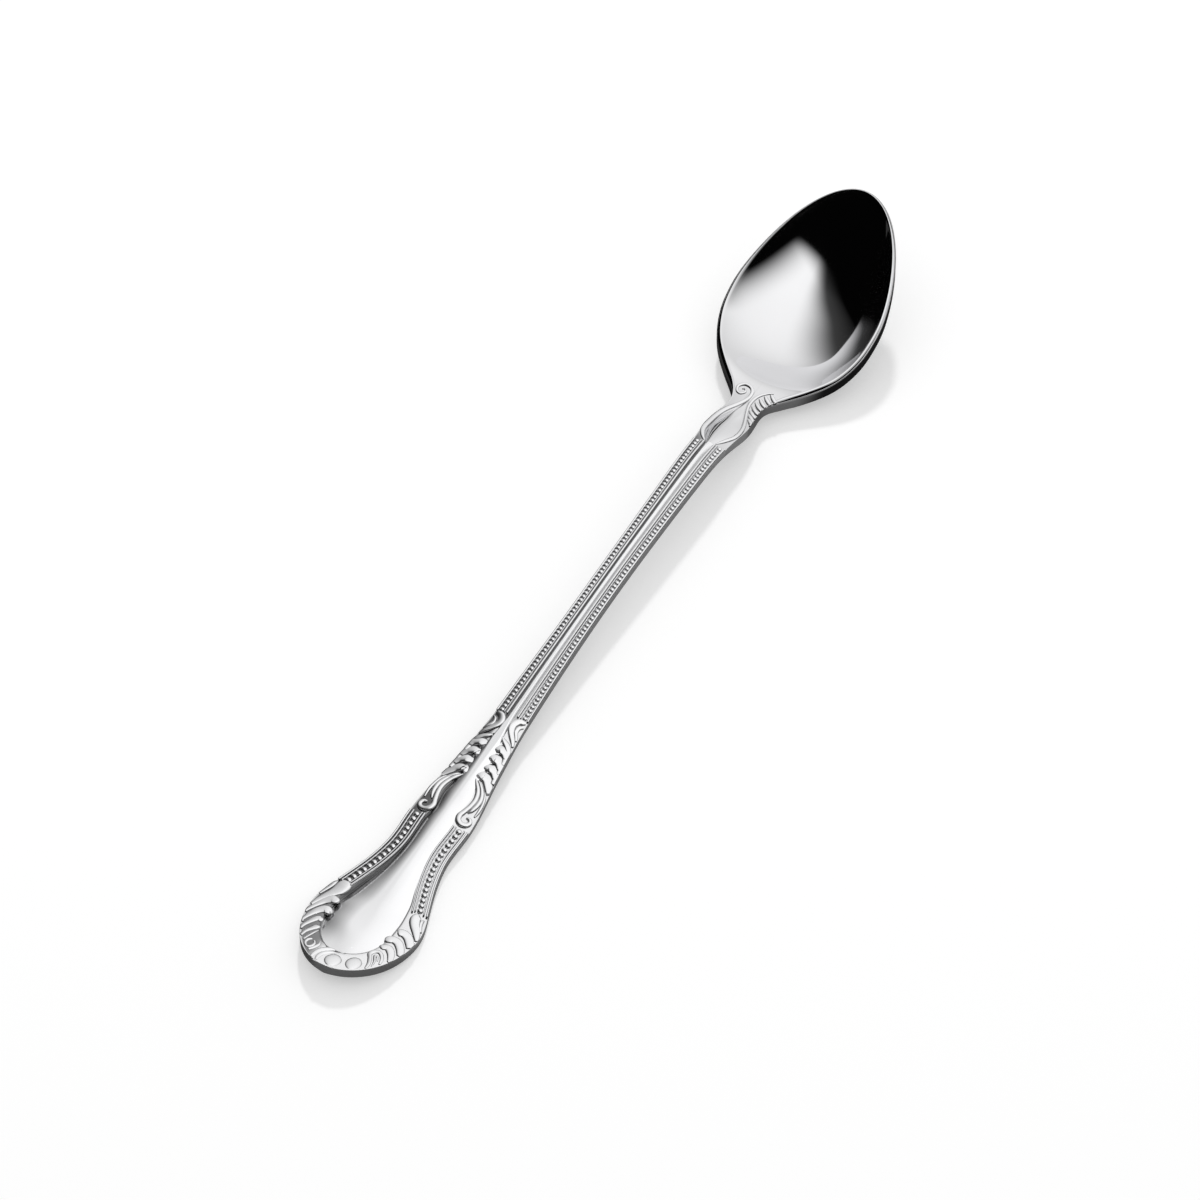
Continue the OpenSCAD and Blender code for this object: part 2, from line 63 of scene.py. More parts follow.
# ------------------------------------------------------ the table and light
# The spoon lies on a white table top. One big soft light hangs over the bowl,
# and the dark room round it shows in the polished steel.
class Tap:
    """A socket in a node tree. Arithmetic on it adds Math nodes."""

    def __init__(self, board, socket):
        self.board, self.socket = board, socket

    def _math(self, operation, first, second=0.0):
        return self.board.node("ShaderNodeMath", {"operation": operation}, {0: first, 1: second})

    def __add__(self, other): return self._math("ADD", self, other)
    def __radd__(self, other): return self._math("ADD", other, self)
    def __sub__(self, other): return self._math("SUBTRACT", self, other)
    def __rsub__(self, other): return self._math("SUBTRACT", other, self)
    def __mul__(self, other): return self._math("MULTIPLY", self, other)
    def __rmul__(self, other): return self._math("MULTIPLY", other, self)
    def __truediv__(self, other): return self._math("DIVIDE", self, other)
    def at_least(self, other): return self._math("MAXIMUM", self, other)
    def at_most(self, other): return self._math("MINIMUM", self, other)


class Board:
    """A node tree that is built by adding nodes from left to right."""

    def __init__(self, tree):
        self.tree = tree
        tree.nodes.clear()

    def node(self, kind, settings=None, sockets=None, out=0):
        made = self.tree.nodes.new(kind)
        for key, value in (settings or {}).items():
            setattr(made, key, value)
        for key, value in (sockets or {}).items():
            if isinstance(value, Tap):
                self.tree.links.new(value.socket, made.inputs[key])
            else:
                made.inputs[key].default_value = value
        if isinstance(out, tuple):
            return [Tap(self, made.outputs[key]) for key in out]
        return Tap(self, made.outputs[out])

    def finish(self, kind, made):
        self.tree.links.new(made.socket, self.tree.nodes.new(kind).inputs[0])

    def rising(self, value, low, high):
        """0 below low and 1 above high, with a smooth step between them."""
        return self.node("ShaderNodeMapRange", {"interpolation_type": "SMOOTHSTEP"},
                         {0: value, 1: low, 2: high, 3: 0.0, 4: 1.0})

    def split(self, vector, out):
        """One or more of a vector's three parts."""
        return self.node("ShaderNodeSeparateXYZ", sockets={0: vector}, out=out)

    def blended(self, share, first, second):
        """The first colour, and a share of the second one over it."""
        return self.node("ShaderNodeMix", {"data_type": "RGBA"}, {0: share, 6: first, 7: second}, out=2)

    def named(self, name):
        """A number that each point carries under a name."""
        return self.node("GeometryNodeInputNamedAttribute", {"data_type": "FLOAT"}, {"Name": name})

    def stored(self, geometry, name, value):
        """The same geometry, and its points now carry a number under a name."""
        return self.node("GeometryNodeStoreNamedAttribute", {"data_type": "FLOAT", "domain": "POINT"},
                         {"Geometry": geometry, "Name": name, "Value": value})

    def finish_metal(self, geometry, metal):
        """Ends a tree with real, smooth shaded geometry in one metal."""
        single = self.node("GeometryNodeRealizeInstances", sockets={"Geometry": geometry})
        smooth = self.node("GeometryNodeSetShadeSmooth", sockets={"Geometry": single})
        self.finish("NodeGroupOutput", self.node("GeometryNodeSetMaterial", sockets={
            "Geometry": smooth, "Material": metal}))


# The room is white to the eye, almost black in a mirror, and a soft light on all else
room_level, room_light = 0.001, 0.62
white = (1, 1, 1, 1)
world = bpy.data.worlds.new("studio")
bpy.context.scene.world = world
world.use_nodes = True
room = Board(world.node_tree)
seen, mirrored = room.node("ShaderNodeLightPath", out=("Is Camera Ray", "Is Glossy Ray"))
unseen = mirrored * room_level + (1 - mirrored) * room_light
room.finish("ShaderNodeOutputWorld", room.node("ShaderNodeBackground", sockets={
    "Color": white, "Strength": seen + (1 - seen) * unseen}))

# The soft light is a wide cloth overhead: a crisp near edge, a side that grows softer
# as it slants away, and a soft far side. Only reflections see it. Places on it are
# counted in its own height: along is the spoon's length, across is the spoon's left
cloth_height, cloth_reach = 0.4, 7.0
cloth_mesh = bpy.data.meshes.new("light_cloth")
cloth_mesh.from_pydata([(x * cloth_height * cloth_reach, y * cloth_height * cloth_reach, cloth_height)
                        for x, y in ((-1, -1), (-1, 1), (1, 1), (1, -1))], [], [(0, 1, 2, 3)])
cloth = bpy.data.objects.new("light_cloth", cloth_mesh)
bpy.context.scene.collection.objects.link(cloth)
glowing = bpy.data.materials.new("lit_cloth")
glowing.use_nodes = True
weave = Board(glowing.node_tree)
spot = weave.node("ShaderNodeTexCoord", out="Object")
spot_x, spot_y = weave.split(spot, (0, 1))
along, across = spot_x / cloth_height, spot_y / cloth_height
near_slant, near_dark, near_lit = 0.22, -0.28, -0.125
near_edge = weave.rising(along - across * near_slant, near_dark, near_lit)
far_slant, far_lit, far_dark = 0.86, 0.41, 1.93
far_side = 1 - weave.rising(0 - across - along * far_slant, far_lit, far_dark)
hinge_along, hinge_across, hinge_width = -0.5, -0.27, 0.05
turned = (across - hinge_across).at_least(0.0) / (along - hinge_along).at_least(hinge_width)
turn_lit, turn_dark, turn_end, trace = 0.32, 1.54, 2.4, 0.12
soft_side = ((1 - weave.rising(turned, turn_lit, turn_dark)) * (1 - trace)
             + (1 - turned / turn_end).at_least(0.0) * trace)
cloth_full, cloth_fade, cloth_fade_most = 1.18, 0.136, 0.4
cloth_level = cloth_full - (along.at_least(0.0) * cloth_fade).at_most(cloth_fade_most)
# Two lit walls stand where the bowl doesn't mirror them towards the camera
wall_level, bend_across, bend_slant = 0.85, 1.0, 0.6
back_dark, back_lit, side_dark, side_lit = 2.3, 2.7, 2.65, 3.1
behind = weave.rising(0 - along - (across - bend_across).at_least(0.0) * bend_slant, back_dark, back_lit)
beside = weave.rising(0 - across, side_dark, side_lit)
wall_light = behind.at_least(beside) * wall_level
weave.finish("ShaderNodeOutputMaterial", weave.node("ShaderNodeEmission", sockets={
    "Color": white,
    "Strength": (near_edge * soft_side * far_side * cloth_level).at_least(wall_light) + room_level}))
cloth_mesh.materials.append(glowing)
cloth.visible_camera = cloth.visible_diffuse = cloth.visible_shadow = cloth.visible_transmission = False

# A round lamp behind the bowl's left throws the soft shadow, and no reflection shows it
lamp_size, lamp_power, lamp_distance = 0.16, 9, 1.6
lamp_data = bpy.data.lights.new("soft_light", "AREA")
lamp_data.shape = "DISK"
lamp_data.size = lamp_size
lamp_data.energy = lamp_power
lamp = bpy.data.objects.new("soft_light", lamp_data)
to_lamp = Vector((1.007, 0.499, 1)).normalized()
lamp_turn = to_lamp.to_track_quat("Z", "Y").to_matrix().to_4x4()
lamp.matrix_world = Matrix.Translation(to_lamp * lamp_distance) @ lamp_turn
lamp.visible_glossy = False
lamp.visible_camera = False
bpy.context.scene.collection.objects.link(lamp)

# The table is pale to the eye. In a mirror it shows painted reflection tones by place: painted shade
# under the bowl and along the spoon's left, painted light past the bowl, and mid grey elsewhere
table_size, table_drop = 3.0, 0.00002
table_mesh = bpy.data.meshes.new("table_top")
table_mesh.from_pydata([(x * table_size, y * table_size, -table_drop)
                        for x, y in ((-1, -1), (1, -1), (1, 1), (-1, 1))], [], [(0, 1, 2, 3)])
table = bpy.data.objects.new("table_top", table_mesh)
bpy.context.scene.collection.objects.link(table)
table_top = bpy.data.materials.new("white_table")
table_top.use_nodes = True
paint = Board(table_top.node_tree)
table_seen, table_mirrored = paint.node("ShaderNodeLightPath", out=("Is Camera Ray", "Is Glossy Ray"))
grain = paint.node("ShaderNodeTexNoise", sockets={"Scale": 900.0, "Detail": 2.0})
table_spot = paint.node("ShaderNodeTexCoord", out="Object")
table_x, table_y = paint.split(table_spot, (0, 1))
# Painted shade: a dark disc on the table under the bowl, seen only in reflections
bowl_spot_x, bowl_spot_y, near_squared, past_squared = 0.083, -0.014, 0.0006, 0.0009
from_x, from_y = table_x - bowl_spot_x, table_y - bowl_spot_y
painted_shade_under_bowl = (1 - paint.rising(from_x * from_x + from_y * from_y, near_squared, past_squared)) * table_mirrored
tip_level, handle_level, left_level, far_level, bowl_shade_level = 0.13, 0.27, 0.04, 0.5, 0.015
side_from, side_to, far_from, far_to, handle_from, handle_to = 0.003, 0.006, 0.098, 0.106, -0.09, -0.075
# Painted reflection tones: dark along the spoon's left, bright past the bowl, darker grey by the tip, paler
# along the handle
dark_side = paint.rising(table_y, side_from, side_to)
far_end = paint.rising(table_x, far_from, far_to)
beside_handle = tip_level + paint.rising(table_x, handle_from, handle_to) * (handle_level - tip_level)
painted_mirror_level = (beside_handle * (1 - dark_side) + dark_side * left_level) * (1 - far_end) + far_end * far_level
table_white = 0.72
painted_mirror_tone = paint.node("ShaderNodeCombineXYZ", sockets={0: painted_mirror_level, 1: painted_mirror_level, 2: painted_mirror_level})
table_tone = paint.blended(table_mirrored, (table_white, table_white, table_white, 1), painted_mirror_tone)
shaded_tone = paint.blended(painted_shade_under_bowl, table_tone, (bowl_shade_level, bowl_shade_level, bowl_shade_level, 1))
matt = paint.node("ShaderNodeBsdfDiffuse", sockets={"Color": shaded_tone})
table_lift, grain_lift = 0.4, 0.002
glow = paint.node("ShaderNodeEmission", sockets={
    "Color": white, "Strength": table_seen * table_lift + grain * grain_lift})
both = paint.node("ShaderNodeAddShader", sockets={0: matt, 1: glow})
paint.finish("ShaderNodeOutputMaterial", both)
table_mesh.materials.append(table_top)


# ---------------------------------------------------------------- the blank
# The whole spoon is one piece of stainless steel, cut from strip, rolled thin at
# the bowl and struck between two dies. These are its outline, the line of its
# upper edge and its thickness, in millimetres from the handle tip.
HANDLE_END, SHOULDER, STEM, NECK, BOWL = 36.8, 24.7, 69.6, 19.0, 40.2
shoulder_x = HANDLE_END
stem_x = shoulder_x + SHOULDER
neck_x = stem_x + STEM
bowl_x = neck_x + NECK
bowl_tip_x = bowl_x + BOWL
middle_x = bowl_tip_x / 2


def place(x, y, z):
    """Millimetres from the handle tip to metres in the frame."""
    return np.stack(np.broadcast_arrays((x - middle_x) / 1000, y / 1000, z / 1000), axis=-1)


def curve(rows, x):
    """Smooth curve through rows of place and value, level at each peak and dip."""
    at, value = np.array(rows, float).T
    secant = np.diff(value) / np.diff(at)
    turn = secant[:-1] * secant[1:]
    inner = np.where(turn <= 0, 0, 2 * turn / np.where(turn <= 0, 1, secant[:-1] + secant[1:]))
    slope = np.concatenate([secant[:1], inner, secant[-1:]])
    i = np.clip(np.searchsorted(at, x, side="right") - 1, 0, len(at) - 2)
    run = at[i + 1] - at[i]
    f = (x - at[i]) / run
    return (value[i] * (1 + 2 * f) * (1 - f) ** 2 + value[i + 1] * f * f * (3 - 2 * f)
            + run * f * (1 - f) * (slope[i] * (1 - f) - slope[i + 1] * f))


fine = 0.1
fine_x = np.arange(0, bowl_tip_x + fine / 2, fine)


def polished(values, softness):
    """Takes the last unevenness out of a line, as the buffing wheel does."""
    reach = int(4 * softness / fine)
    weight = np.exp(-0.5 * (np.arange(-reach, reach + 1) * fine / softness) ** 2)
    before = 2 * values[0] - values[reach:0:-1]
    after = 2 * values[-1] - values[-2:-reach - 2:-1]
    return np.convolve(np.concatenate([before, values, after]), weight / weight.sum(), "valid")


def smoothstep(f):
    f = np.clip(f, 0, 1)
    return f * f * (3 - 2 * f)


belly_x, waist_x = HANDLE_END * 0.37, HANDLE_END * 0.84
throat_x = neck_x + NECK * 0.76
bowl_belly_x = bowl_x + BOWL * 0.43
bowl_half, handle_half = 14.65, 9.85
bowl_roundness = 1.53
outline = [[0, handle_half], [belly_x, handle_half], [20.22, 7.94], [25.43, 6.29],
           [waist_x, 5.4], [shoulder_x, 5.65], [49.15, 4.2], [stem_x, 3.1], [90.73, 2.55],
           [neck_x, 3.15], [138.32, 3.75], [throat_x, 2.9]]
outline += [[bowl_x + BOWL * s, bowl_half * w] for s, w in
            ((-0.04, 0.335), (0.01, 0.48), (0.06, 0.61), (0.14, 0.8), (0.23, 0.92), (0.32, 0.985), (0.43, 1))]
past_belly = np.clip(fine_x - bowl_belly_x, 0, None) / (bowl_tip_x - bowl_belly_x)
half_squared = np.where(
    fine_x < belly_x, handle_half ** 2 * (1 - ((belly_x - fine_x) / belly_x) ** 2),
    np.where(fine_x > bowl_belly_x, bowl_half ** 2 * (1 - past_belly ** bowl_roundness),
             curve(outline, fine_x) ** 2))
half_squared = polished(half_squared, 1.5)


def half(x):
    return np.sqrt(np.clip(np.interp(x, fine_x, half_squared), 1e-6, None))


upper_edge = [[0, 4.3], [8.65, 2.45], [18.24, 2], [22.24, 2], [shoulder_x, 2.4], [49.15, 3.1], [75.42, 5.5],
              [103.26, 7.1], [125.53, 7.5], [147.06, 4], [bowl_belly_x, 9.2], [bowl_tip_x, 18.6]]
edge_line = polished(curve(upper_edge, fine_x), 2.0)
strip = [[0, 2.1], [18.24, 2], [22.24, 2], [shoulder_x, 1.8], [49.15, 1.8], [75.42, 2.1], [125.53, 2.1],
         [throat_x, 2.6], [bowl_x, 2.15]]
keel = [[bowl_x, curve(upper_edge, np.array([bowl_x]))[0] - 2.15]]
keel += [[bowl_x + BOWL * s, 18.6 * h] for s, h in ((0.27, 0), (0.5, 0.115), (0.75, 0.4), (0.88, 0.62))]
keel += [[bowl_tip_x, 17.5]]
strip_under = curve(upper_edge, fine_x) - curve(strip, np.minimum(fine_x, bowl_x))
under_line = polished(np.where(fine_x < bowl_x, strip_under, curve(keel, np.maximum(fine_x, bowl_x))), 2.0)
wall_line = polished(curve([[bowl_x, 1.7], [bowl_x + BOWL * 0.25, 1.1], [bowl_tip_x, 1.1]],
                           np.maximum(fine_x, bowl_x)), 2.0)


def edge(x):
    return np.interp(x, fine_x, edge_line)


def under(x):
    return np.maximum(np.interp(x, fine_x, under_line), 0)


# The smooth panel down the middle of the handle is domed and falls away to its border: place,
# half width, width of the falling flank, its fall, and the depth of the ground outside it
panel_rows = np.array([
    [0, 5.75, 4.2, 0.3, 0.13], [4.5, 5.75, 4.2, 0.36, 0.13], [9, 5.75, 4.2, 0.7, 0.15],
    [15, 5.8, 4.6, 0.8, 0.22], [17, 5.4, 4.7, 0.95, 0.36], [19.5, 4.85, 4.3, 0.92, 0.42],
    [22, 4.0, 3.6, 0.82, 0.42], [25, 3.2, 2.9, 0.7, 0.42], [28, 2.65, 2.4, 0.6, 0.42],
    [31, 2.35, 2.2, 0.53, 0.42], [36.8, 2.55, 2.4, 0.57, 0.42], [39, 2.1, 2.0, 0.48, 0.36],
    [43, 2.6, 2.4, 0.55, 0.35], [46, 1.9, 1.7, 0.42, 0.35], [49, 1.6, 1.3, 0.38, 0.35],
    [53, 1.5, 1.1, 0.38, 0.35], [56, 1.1, 0.45, 0.5, 0.35], [59, 0.7, 0.35, 0.45, 0.35],
    [61.5, 0.56, 0.35, 0.42, 0.4], [90.7, 0.44, 0.3, 0.42, 0.4], [128, 0.5, 0.35, 0.42, 0.4],
    [131.1, 0.8, 0.6, 0.5, 0.35], [133.2, 1.75, 1.5, 0.65, 0.3], [135, 2.35, 2.1, 0.75, 0.28],
    [137.6, 2.55, 2.3, 0.75, 0.28], [140, 2.1, 1.9, 0.7, 0.28], [142, 1.4, 0.7, 0.5, 0.28],
    [144, 0.7, 0.5, 0.4, 0.28], [146, 0.1, 0.4, 0.3, 0.28], [148, 0, 0.4, 0.28, 0.28],
    [bowl_tip_x, 0, 0.4, 0.28, 0.28]])
panel_half, panel_flank, panel_fall, ground_depth = (
    polished(np.interp(fine_x, panel_rows[:, 0], panel_rows[:, k]), 0.6) for k in (1, 2, 3, 4))
tip_panel_x, tip_panel_l, tip_panel_y = 12.0, 7.7, 0.3
ground_slope_l, flank_bend = 0.16, 1.7
right_fall, left_more = 0.6, 0.75
camber = 0.13


def panel_shift(x):
    """How far the panel lies to the left: a little at the tip, and nothing past 20 mm."""
    return tip_panel_y * (1 - smoothstep((x - 14) / 6))


def panel_gap(x, y):
    """How far inside the panel's border a place is; negative outside."""
    reach = np.interp(x, fine_x, panel_half)
    y = y - panel_shift(x)
    before = np.clip((tip_panel_x - x) / tip_panel_l, 0, None)
    return np.where(x < tip_panel_x, reach * (1 - np.hypot(before, y / reach.clip(0.01))), reach - np.abs(y))


def top_line(x, y):
    """Height that the ornament reaches: the upper edge, sloping down a little over the border."""
    past = np.clip(np.abs(y) - np.interp(x, fine_x, panel_half), 0, None)
    return edge(x) - camber * past * smoothstep((x - 6) / 12) * (1 - smoothstep((x - 131) / 6))


def ground(x, y):
    """Height of the handle's upper face."""
    gap = panel_gap(x, y)
    fall, depth = np.interp(x, fine_x, panel_fall), np.interp(x, fine_x, ground_depth)
    fall = fall * (right_fall + left_more * smoothstep((y + 2) / 4))
    inside = fall * (1 - np.clip(gap / np.interp(x, fine_x, panel_flank), 0, 1)) ** flank_bend
    outside = depth + (fall - depth) * np.exp(-np.clip(-gap, 0, None) / ground_slope_l)
    return top_line(x, y) - np.where(gap > 0, inside, outside)


# Steps in from the outline and up to the edge, for the bowl's lip and for the handle's corner
lip_section = np.array([[0, -2.3], [0, -0.8], [0.03, -0.6], [0.12, -0.43], [0.28, -0.25], [0.44, -0.1],
                        [0.54, -0.03], [0.6, 0], [0.7, 0]])
corner_section = np.array([[0, -1], [0, -0.4], [0, -0.2], [0, -0.08], [0.01, -0.05],
                           [0.02, -0.03], [0.03, -0.01], [0.05, 0], [0.08, 0]])
lip_from, lip_to = 145.0, 149.5
dish_from, dish_to = 147.8, 153.5
wall_share, lip_wall = 0.8, 2.5
under_flat, under_swell, under_soft, under_softer = 0.4, 0.4, 0.3, 0.35
lean_step, inner_step, cap_softness = 0.05, 0.02, 0.06
across_under = np.sin(np.linspace(-1, 1, 45) * math.pi / 2)
across_top = np.linspace(1, -1, 81)


def ring(x):
    """One loop round the spoon: underside, wall, edge or lip, upper face, and back."""
    w, rim, low = half(x), edge(x), under(x)
    to_bowl = smoothstep((x - neck_x) / NECK)
    lipped = smoothstep((x - lip_from) / (lip_to - lip_from))
    dished = smoothstep((x - dish_from) / (dish_to - dish_from))
    seat = float(ground(np.array([x]), np.array([w]))[0])
    top = seat + (rim - seat) * lipped
    side = seat - (seat - low) * wall_share
    side = max(side + (rim - lip_wall - side) * lipped, low + 0.05)
    flat = under_flat * (1 - to_bowl)
    swell = under_swell + (1 - under_swell) * to_bowl
    f = np.clip(np.abs(across_under) - flat, 0, None) / (1 - flat)
    full = under_soft + under_softer * lipped
    bottom = low + swell * (side - low) * ((1 - full) * f ** 2 + full * f ** 5)
    ahead, behind = min(x + lean_step, bowl_tip_x), max(x - lean_step, 0)
    lean = (half(ahead) - half(behind)) / (ahead - behind)
    out_x, out_y = -lean / math.hypot(1, lean), 1 / math.hypot(1, lean)
    section = corner_section + (lip_section - corner_section) * lipped
    steps = [(d, max(top + h, side + 0.02)) for d, h in section]
    width = section[-1, 0] + inner_step
    inner_x, inner_y = x - out_x * width, w - out_y * width
    before = min(max((tip_panel_x - x) / tip_panel_l, 0), 0.97)
    border = max(np.interp(x, fine_x, panel_half) * math.sqrt(1 - before ** 2), 0.15 * w)
    # Most points across the face are spent on the panel's border, where it bends; on the bowl they are even
    even_part = smoothstep((x - 140) / 8)
    y = np.zeros_like(across_top)
    for way in (1, -1):
        at = border + panel_shift(x) * way
        bent = np.interp(np.abs(across_top), [0, 0.52, 0.58, 0.68, 0.76, 1],
                         [0, at - 0.06, at + 0.02, at + 0.2, at + 0.46, inner_y])
        y = np.where(across_top * way > 0, way * (bent + (np.abs(across_top) * inner_y - bent) * even_part), y)
    face = ground(np.full_like(y, x), y)
    floor = low + np.interp(x, fine_x, wall_line)
    dish = floor + (top - floor) * (0.82 * (y / inner_y) ** 2 + 0.18 * (y / inner_y) ** 4)
    upper = face * (1 - dished) + dish * dished
    blend_edge = 1 - smoothstep((1 - np.abs(across_top)) / cap_softness)
    upper = upper + (top - upper) * blend_edge * (1 - dished)
    loop = [np.stack([np.full_like(bottom, x), across_under * w, bottom], -1)]
    loop += [np.array([[x - out_x * d, w - out_y * d, z] for d, z in steps])]
    loop += [np.stack([np.full_like(y, inner_x), y, upper], -1)[1:-1]]
    loop += [np.array([[x - out_x * d, -(w - out_y * d), z] for d, z in reversed(steps)])]
    return np.concatenate(loop)


even = np.linspace(0, 1, 46)
ring_places = np.concatenate([
    belly_x * (even[:-1] ** 2), np.linspace(belly_x, shoulder_x, 66)[:-1],
    np.linspace(shoulder_x, stem_x, 82)[:-1], np.linspace(stem_x, neck_x, 150)[:-1],
    np.linspace(neck_x, bowl_x, 76)[:-1],
    bowl_x + BOWL * (1 - np.linspace(1, 0, 110) ** 2)])
ring_places[0], ring_places[-1] = 0.0004, bowl_tip_x - 0.0004
skin = np.array([ring(x) for x in ring_places])
around = np.roll(skin, -1, axis=1)
leg_one = around[1:] - skin[:-1]
leg_two = skin[1:] - around[:-1]
side_normals = np.cross(leg_one, leg_two)
summed = np.zeros_like(skin)
for part in (summed[:-1], summed[1:]):
    part += side_normals
    part += np.roll(side_normals, 1, axis=1)
skin_normals = summed / np.linalg.norm(summed, axis=-1, keepdims=True)
# The normals of a ring of the stem point up above its heart and down below it, if they point outwards
mid_ring, mid_normals = skin[len(skin) // 2], skin_normals[len(skin) // 2]
stem_heart = edge(95.0) - 1.3
outward = 1 if (mid_normals[:, 2] * (mid_ring[:, 2] - stem_heart)).sum() > 0 else -1
skin_normals *= outward


def painted_shade_amount(x, y):
    """How much painted shade darkens the struck ground and the foot of the panel's left flank: 0 none, 1 full.
    """
    gap = panel_gap(x, y)
    # Painted shade: the ground outside the panel is painted dark on the left, paler on the right and on the
    # neck
    painted_shade = (gap < 0.02) * (1 - 0.8 * smoothstep((x - 131) / 4)) * (1 - smoothstep((x - 146) / 3))
    stem_middle = (np.abs(y) < 1.1) * smoothstep((x - 58) / 3)
    shade_by_side = 0.16 + 0.7 * smoothstep(y / 3)
    painted_shade = painted_shade * np.maximum(shade_by_side, (0.6 + 0.4 * smoothstep(y / 0.3)) * stem_middle)
    painted_shade = painted_shade * np.maximum(smoothstep((x - 5) / 9), smoothstep((y - 2) / 2))
    # A band of painted shade runs along the foot of the left flank, from the tip leaf to the foot of the stem
    painted_flank_shade = smoothstep(1 - gap / 1.5) * smoothstep((y - 0.6) / 1.2)
    painted_flank_shade = painted_flank_shade * smoothstep((x - 10) / 8) * (1 - smoothstep((x - 57) / 3))
    return np.maximum(painted_shade, 0.85 * painted_flank_shade)


def region(name, start, finish, metal):
    """The stretch of the blank from start to finish as a closed piece, shaded as one with the rest."""
    rows = np.nonzero((ring_places > start - 0.002) & (ring_places < finish + 0.002))[0]
    points, normals = skin[rows], skin_normals[rows]
    count, n = points.shape[:2]
    i, j = np.meshgrid(np.arange(count - 1), np.arange(n), indexing="ij")
    a, b = i * n + j, i * n + (j + 1) % n
    quads = np.stack([a, a + n, b + n, b], -1).reshape(-1, 4)
    ends = [list(range(n)), list(range((count - 1) * n, count * n))[::-1]]
    faces = [list(map(int, q if outward < 0 else q[::-1])) for q in quads]
    faces += [e if outward < 0 else e[::-1] for e in ends]
    mesh = bpy.data.meshes.new(name)
    flat = points.reshape(-1, 3)
    mesh.from_pydata(place(flat[:, 0], flat[:, 1], flat[:, 2]).tolist(), [], faces)
    mesh.shade_smooth()
    flat_normals = normals.reshape(-1, 3)
    loop_normals = [flat_normals[v].tolist() for q in faces[:-2] for v in q]
    for cap, way in ((faces[-2], -1), (faces[-1], 1)):
        loop_normals += [[way, 0, 0]] * len(cap)
    mesh.normals_split_custom_set(loop_normals)
    # Painted shade: each point on the upper face carries how far its colour is darkened
    shade_paint = mesh.attributes.new("painted_shade_layer", "FLOAT", "POINT")
    top_middle = len(across_under) + len(lip_section) + (len(across_top) - 2) / 2
    on_top = np.abs(np.arange(n) - top_middle) < len(across_top) / 2
    painted_shade = painted_shade_amount(flat[:, 0], flat[:, 1]) * np.tile(on_top, count)
    shade_paint.data.foreach_set("value", painted_shade.astype(np.float32))
    mesh.materials.append(metal)
    piece = bpy.data.objects.new(name, mesh)
    bpy.context.scene.collection.objects.link(piece)
    return piece


# ----------------------------------------------------------------- the bowl
# The bowl is egg shaped and deep, with its tip swept up. The press dishes it out
# of the thin end of the blank, its lip is ground flat, and it is polished to a mirror.
# The first share sets how dark painted shade makes the steel
painted_shade_share, worn_share, wear_most, grain_size = 0.1, 0.8, 0.12, 0.00002


def steel(name, colour, roughness, spread, grain_depth, metallic=1.0):
    """Polished or satin steel: fine lines along the spoon, soft uneven wear, and painted shade where the
    points carry it.
    """
    metal = bpy.data.materials.new(name)
    metal.use_nodes = True
    board = Board(metal.node_tree)
    where = board.node("ShaderNodeTexCoord", out="Object")
    drawn_out = board.node("ShaderNodeMapping", sockets={"Vector": where, "Scale": (60, 1400, 1400)})
    lines = board.node("ShaderNodeTexNoise", sockets={"Vector": drawn_out, "Scale": 1.0, "Detail": 3.0})
    wear = board.node("ShaderNodeTexNoise", sockets={"Vector": where, "Scale": 180.0, "Detail": 4.0})
    shade_paint = board.node("ShaderNodeAttribute", {"attribute_name": "painted_shade_layer"}, out="Fac")
    finish = roughness + spread * (wear - 0.5) + spread * (lines - 0.5)
    # Painted shade: the colour darkens where the points carry painted shade
    tone = board.blended(shade_paint, (*colour, 1), (*(c * painted_shade_share for c in colour), 1))
    tone = board.blended(wear * wear_most, tone, (*(c * worn_share for c in colour), 1))
    bump = board.node("ShaderNodeBump", sockets={
        "Strength": grain_depth, "Distance": grain_size, "Height": lines})
    shader = board.node("ShaderNodeBsdfPrincipled", sockets={
        "Base Color": tone, "Roughness": finish.at_least(0.02), "Metallic": metallic, "Normal": bump})
    board.finish("ShaderNodeOutputMaterial", shader)
    return metal


mirror = steel("mirror_polished_steel", (0.79, 0.79, 0.8), 0.045, 0.02, 0.02)
bowl = region("dished_bowl", bowl_x, bowl_tip_x, mirror)
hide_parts("bowl")
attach(bowl, "root")

# ----------------------------------------------------------------- the neck
# The neck swells to a lozenge and draws in to the throat, the thickest metal of
# the spoon, because it takes the load when the bowl is levered.
neck = region("lozenge_neck", neck_x, bowl_x, mirror)
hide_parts("neck")
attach(neck, "root")

# ----------------------------------------------------------------- the stem
# The long stem arches off the table. Its sides are trimmed square and its face is
# struck, so it is bright on the raised parts and satin in the ground, where painted shade also darkens it.
satin = steel("satin_steel", (0.95, 0.95, 0.96), 0.17, 0.06, 0.12, metallic=0.95)
stem = region("long_stem", stem_x, neck_x, satin)
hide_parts("stem")
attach(stem, "root")

# ------------------------------------------------------------- the shoulder
# The shoulder tapers from the handle end to the foot of the stem and carries the
# scrolls, flutes and leaves on either side of its smooth middle.
shoulder = region("tapered_shoulder", shoulder_x, stem_x, satin)
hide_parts("shoulder")
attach(shoulder, "root")

# ----------------------------------------------------------- the handle end
# The handle end is broad and flat with its tip turned up. Its domed panel is
# struck between the border beads and left with a satin face.
handle_end = region("domed_handle_end", 0, shoulder_x, satin)
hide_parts("handle_end")
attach(handle_end, "root")

# ------------------------------------------------------------ the bead rows
# Rows of half-round beads run down both sides of the stem and round the waist of the
# handle end. The die strikes them between the rim and the inner ridge.
bright = steel("bright_struck_steel", (0.88, 0.88, 0.89), 0.1, 0.04, 0.06, metallic=0.95)
bead_flatness, bead_lift = 0.5, 0.1


